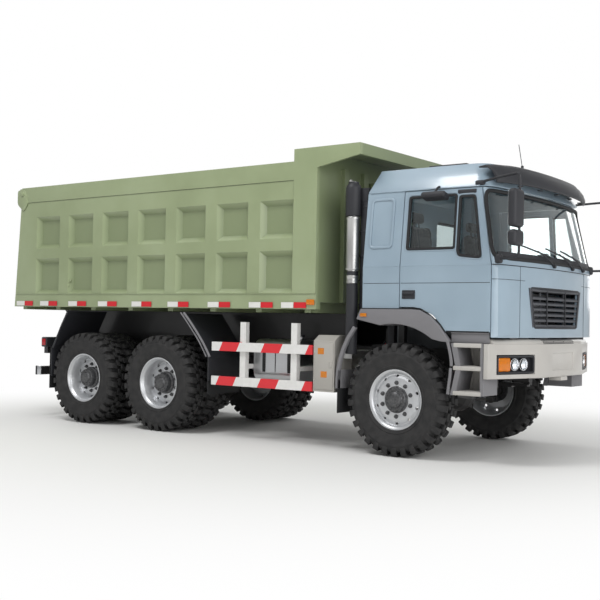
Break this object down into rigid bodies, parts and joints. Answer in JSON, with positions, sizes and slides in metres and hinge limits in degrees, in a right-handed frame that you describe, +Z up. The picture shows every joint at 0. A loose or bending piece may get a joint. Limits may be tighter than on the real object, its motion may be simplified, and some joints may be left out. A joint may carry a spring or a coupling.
{
  "type": "six-wheel-drive tipping lorry",
  "caption": "Off-road dump truck with a cab over the engine, twin-tyred rear bogie, ribbed tipping bed with canopy and front hoist.",
  "frame": {"origin": "middle of the overall length and width, on the ground", "axes": "+X forward along the truck, +Y to its left-hand side, +Z up"},
  "size_m": [7.235, 2.83, 3.14],
  "materials": {
    "black_paint": "semi-gloss black chassis paint",
    "cast_iron": "painted casting",
    "aluminium": "plain aluminium sheet",
    "grey_paint": "pale grey satin paint",
    "lamp_glass": "clear lamp lens",
    "grey_plastic": "mid-grey moulded plastic",
    "silver_paint": "silver-grey paint",
    "guard_paint": "white paint with red slanted bands",
    "bright_steel": "bright steel",
    "black_plastic": "black moulded plastic",
    "bed_paint": "sage green gloss paint",
    "cab_paint": "light blue-grey gloss paint",
    "glass": "tinted safety glass",
    "seat_fabric": "dark woven seat cover",
    "tyre": "black rubber",
    "rim_paint": "silver wheel paint"
  },
  "bodies": {
    "chassis": {"frame_rails": "black_paint", "cross_members": "black_paint", "frame_brackets": "black_paint", "engine": "cast_iron", "radiator": "aluminium", "driveline": "black_paint", "axles": "black_paint", "leaf_springs": "black_paint", "bumper": "grey_paint", "headlamps": "lamp_glass", "steps": "grey_plastic", "fuel_tank": "aluminium", "air_tanks": "black_paint", "side_boxes": "silver_paint", "side_guards": "guard_paint", "exhaust_stack": "bright_steel", "air_intake": "black_plastic", "mudguards": "black_plastic", "rear_bar": "black_paint"},
    "knuckle_left": {"knuckle_left": "black_paint"},
    "knuckle_right": {"knuckle_right": "black_paint"},
    "tie_rod": {"tie_rod": "black_paint"},
    "wheel_front_left": {"tyre_front_left": "tyre", "rim_front_left": "rim_paint"},
    "wheel_front_right": {"tyre_front_right": "tyre", "rim_front_right": "rim_paint"},
    "wheels_middle_left": {"tyres_middle_left": "tyre", "rims_middle_left": "rim_paint"},
    "wheels_middle_right": {"tyres_middle_right": "tyre", "rims_middle_right": "rim_paint"},
    "wheels_rear_left": {"tyres_rear_left": "tyre", "rims_rear_left": "rim_paint"},
    "wheels_rear_right": {"tyres_rear_right": "tyre", "rims_rear_right": "rim_paint"},
    "hoist_tube": {"hoist_tube": "silver_paint"},
    "hoist_stage_1": {"hoist_stage_1": "bright_steel"},
    "hoist_stage_2": {"hoist_stage_2": "bright_steel"},
    "hoist_stage_3": {"hoist_stage_3": "bright_steel"},
    "bed": {"bed_shell": "bed_paint", "bed_sills": "black_paint"},
    "tailgate": {"tailgate": "bed_paint"},
    "cab": {"cab_back": "cab_paint", "cab_roof": "cab_paint", "cab_front": "cab_paint", "cab_glass": "glass", "cab_floor": "black_paint", "cab_fenders": "grey_plastic", "grille": "black_plastic", "mirrors": "black_plastic", "seats": "seat_fabric", "dashboard": "black_plastic", "roof_fittings": "black_plastic"},
    "door_left": {"door_left": "cab_paint", "door_glass_left": "glass"},
    "door_right": {"door_right": "cab_paint", "door_glass_right": "glass"}
  },
  "joints": [
    {"name": "steer_left", "type": "hinge", "parent": "chassis", "child": "knuckle_left", "pos_m": [2.2525, 0.955, 0.5625], "axis": [0, 0, 1], "range_deg": [-28, 28]},
    {"name": "steer_right", "type": "hinge", "parent": "chassis", "child": "knuckle_right", "pos_m": [2.2525, -0.955, 0.5625], "axis": [0, 0, 1], "range_deg": [-28, 28]},
    {"name": "tie_rod_pin", "type": "hinge", "parent": "knuckle_left", "child": "tie_rod", "pos_m": [2.0475, 0.85, 0.395], "axis": [0, 0, 1], "range_deg": [-36, 36]},
    {"name": "spin_front_left", "type": "hinge", "parent": "knuckle_left", "child": "wheel_front_left", "pos_m": [2.2525, 1.047, 0.5625], "axis": [0, 1, 0], "continuous": true},
    {"name": "spin_front_right", "type": "hinge", "parent": "knuckle_right", "child": "wheel_front_right", "pos_m": [2.2525, -1.047, 0.5625], "axis": [0, 1, 0], "continuous": true},
    {"name": "spin_middle_left", "type": "hinge", "parent": "chassis", "child": "wheels_middle_left", "pos_m": [-0.9725, 0.904, 0.5625], "axis": [0, 1, 0], "continuous": true},
    {"name": "spin_middle_right", "type": "hinge", "parent": "chassis", "child": "wheels_middle_right", "pos_m": [-0.9725, -0.904, 0.5625], "axis": [0, 1, 0], "continuous": true},
    {"name": "spin_rear_left", "type": "hinge", "parent": "chassis", "child": "wheels_rear_left", "pos_m": [-2.2725, 0.904, 0.5625], "axis": [0, 1, 0], "continuous": true},
    {"name": "spin_rear_right", "type": "hinge", "parent": "chassis", "child": "wheels_rear_right", "pos_m": [-2.2725, -0.904, 0.5625], "axis": [0, 1, 0], "continuous": true},
    {"name": "bed_tilt", "type": "hinge", "parent": "chassis", "child": "bed", "pos_m": [-3.0475, 0, 1.17], "axis": [0, -1, 0], "range_deg": [0, 48]},
    {"name": "tailgate_swing", "type": "hinge", "parent": "bed", "child": "tailgate", "pos_m": [-3.4825, 0, 2.935], "axis": [0, 1, 0], "range_deg": [0, 60]},
    {"name": "hoist_swing", "type": "hinge", "parent": "chassis", "child": "hoist_tube", "pos_m": [1.5975, 0, 1.19], "axis": [0, -1, 0], "range_deg": [0, 31]},
    {"name": "hoist_slide_1", "type": "slide", "parent": "hoist_tube", "child": "hoist_stage_1", "axis": [-0.0283, 0, 0.9996], "range_m": [0, 1.25]},
    {"name": "hoist_slide_2", "type": "slide", "parent": "hoist_stage_1", "child": "hoist_stage_2", "axis": [-0.0283, 0, 0.9996], "range_m": [0, 1.25]},
    {"name": "hoist_slide_3", "type": "slide", "parent": "hoist_stage_2", "child": "hoist_stage_3", "axis": [-0.0283, 0, 0.9996], "range_m": [0, 1.25]},
    {"name": "cab_tilt", "type": "hinge", "parent": "chassis", "child": "cab", "pos_m": [3.4025, 0, 1.13], "axis": [0, 1, 0], "range_deg": [0, 45]},
    {"name": "door_left_hinge", "type": "hinge", "parent": "cab", "child": "door_left", "pos_m": [3.2805, 1.198, 1.9], "axis": [0, 0, -1], "range_deg": [0, 70]},
    {"name": "door_right_hinge", "type": "hinge", "parent": "cab", "child": "door_right", "pos_m": [3.2805, -1.198, 1.9], "axis": [0, 0, 1], "range_deg": [0, 70]}
  ],
  "couplings": [
    {"joint": "steer_right", "follows": "steer_left", "ratio": 1},
    {"joint": "tie_rod_pin", "follows": "steer_left", "ratio": -1.1168},
    {"joint": "hoist_swing", "follows": "bed_tilt", "ratio": 0.62648},
    {"joint": "hoist_slide_1", "follows": "bed_tilt", "m_per_rad": 1.4601},
    {"joint": "hoist_slide_2", "follows": "bed_tilt", "m_per_rad": 1.4601},
    {"joint": "hoist_slide_3", "follows": "bed_tilt", "m_per_rad": 1.4601}
  ]
}
